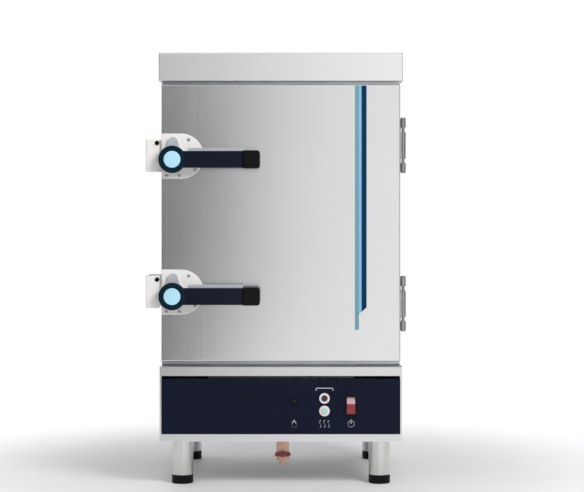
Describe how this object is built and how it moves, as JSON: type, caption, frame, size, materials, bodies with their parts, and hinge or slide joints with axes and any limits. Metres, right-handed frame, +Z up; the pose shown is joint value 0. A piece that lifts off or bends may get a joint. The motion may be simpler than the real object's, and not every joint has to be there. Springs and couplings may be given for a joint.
{
  "type": "food steaming cabinet",
  "caption": "Upright stainless steam cabinet with a hinged insulated door, lever latches, food trays over a heated water tank, a control panel and levelling feet.",
  "frame": {"origin": "on the floor, under the middle of the whole outline, latch keepers, hinges, levers and float box included", "axes": "+Z up; the door and control panel face -Y; +X is to the viewer's right, where the hinges are"},
  "size_m": [0.746, 0.7584, 1.24],
  "materials": {
    "stainless": "brushed stainless sheet, vertical grain",
    "liner_steel": "satin stainless sheet",
    "tray_steel": "satin pressed stainless",
    "element_steel": "heat-darkened tube",
    "cast_nickel": "satin nickel plating on the lever castings",
    "cream_casting": "cream enamel on plates and keepers",
    "hinge_steel": "machined steel",
    "navy_panel": "satin navy powder coat",
    "navy_plastic": "semi-gloss moulded, dark navy",
    "blue_plastic": "gloss moulded, light blue",
    "black_plastic": "matt moulded black",
    "pale_plastic": "matt moulded pale grey",
    "red_plastic": "gloss moulded red",
    "float_plastic": "gloss moulded white",
    "lamp_bezel": "bright ring",
    "lamp_lens": "gloss pale green lens",
    "seal_rubber": "soft grey silicone",
    "insulation": "mineral wool",
    "valve_brass": "cast brass"
  },
  "bodies": {
    "cabinet": {"baffle_plate": "liner_steel", "base_front_frame": "stainless", "base_pan": "liner_steel", "cable_gland": "black_plastic", "chamber_insulation": "insulation", "chamber_liner": "liner_steel", "contactor": "pale_plastic", "control_panel": "navy_panel", "drain_valve": "valve_brass", "float_box": "liner_steel", "float_box_lid": "liner_steel", "float_valve": "valve_brass", "heating_elements": "element_steel", "hinge_frame_leaves": "hinge_steel", "hinge_pins": "hinge_steel", "lamp_bezels": "lamp_bezel", "lamp_lenses": "lamp_lens", "latch_keeper_lower": "cream_casting", "latch_keeper_upper": "cream_casting", "legs": "stainless", "rack_left": "liner_steel", "rack_right": "liner_steel", "rear_panel": "stainless", "side_panel_left": "stainless", "side_panel_right": "stainless", "steam_outlet": "liner_steel", "switch_bezel": "black_plastic", "terminal_block": "pale_plastic", "top_cover": "stainless", "tray_1": "tray_steel", "tray_2": "tray_steel", "tray_3": "tray_steel", "tray_4": "tray_steel", "tray_5": "tray_steel", "tray_6": "tray_steel", "tray_7": "tray_steel", "tray_8": "tray_steel", "water_tank": "liner_steel"},
    "door": {"door_skin": "stainless", "door_inner_pan": "liner_steel", "door_insulation": "insulation", "door_gasket": "seal_rubber", "hinge_door_leaves": "hinge_steel", "latch_plates": "cream_casting"},
    "latch_upper": {"latch_casting_upper": "cast_nickel", "lever_cover_upper": "navy_plastic", "lever_tip_upper": "black_plastic", "lever_button_upper": "blue_plastic"},
    "latch_lower": {"latch_casting_lower": "cast_nickel", "lever_cover_lower": "navy_plastic", "lever_tip_lower": "black_plastic", "lever_button_lower": "blue_plastic"},
    "drain_handle": {"drain_handle": "red_plastic"},
    "float": {"float_arm": "float_plastic"},
    "rocker": {"switch_rocker": "red_plastic"},
    "foot_front_left": {"foot_front_left": "black_plastic"},
    "foot_rear_left": {"foot_rear_left": "black_plastic"},
    "foot_front_right": {"foot_front_right": "black_plastic"},
    "foot_rear_right": {"foot_rear_right": "black_plastic"}
  },
  "joints": [
    {"name": "door_hinge", "type": "hinge", "parent": "cabinet", "child": "door", "pos_m": [0.365, -0.27135, 0.753], "axis": [0, 0, 1], "range_deg": [0, 120]},
    {"name": "latch_upper_turn", "type": "hinge", "parent": "door", "child": "latch_upper", "pos_m": [-0.296, -0.33515, 0.934], "axis": [0, -1, 0], "range_deg": [0, 90]},
    {"name": "latch_lower_turn", "type": "hinge", "parent": "door", "child": "latch_lower", "pos_m": [-0.296, -0.33515, 0.545], "axis": [0, -1, 0], "range_deg": [0, 90]},
    {"name": "drain_handle_turn", "type": "hinge", "parent": "cabinet", "child": "drain_handle", "pos_m": [0.017, -0.22635, 0.078], "axis": [0, -1, 0], "range_deg": [0, 90]},
    {"name": "float_swing", "type": "hinge", "parent": "cabinet", "child": "float", "pos_m": [-0.1578, 0.32765, 0.36], "axis": [0, -1, 0], "range_deg": [0, 30]},
    {"name": "rocker_tilt", "type": "hinge", "parent": "cabinet", "child": "rocker", "pos_m": [0.213, -0.31765, 0.2295], "axis": [1, 0, 0], "range_deg": [0, 18]},
    {"name": "foot_front_left_adjust", "type": "slide", "parent": "cabinet", "child": "foot_front_left", "axis": [0, 0, 1], "range_m": [-0.025, 0]},
    {"name": "foot_rear_left_adjust", "type": "slide", "parent": "cabinet", "child": "foot_rear_left", "axis": [0, 0, 1], "range_m": [-0.025, 0]},
    {"name": "foot_front_right_adjust", "type": "slide", "parent": "cabinet", "child": "foot_front_right", "axis": [0, 0, 1], "range_m": [-0.025, 0]},
    {"name": "foot_rear_right_adjust", "type": "slide", "parent": "cabinet", "child": "foot_rear_right", "axis": [0, 0, 1], "range_m": [-0.025, 0]}
  ]
}
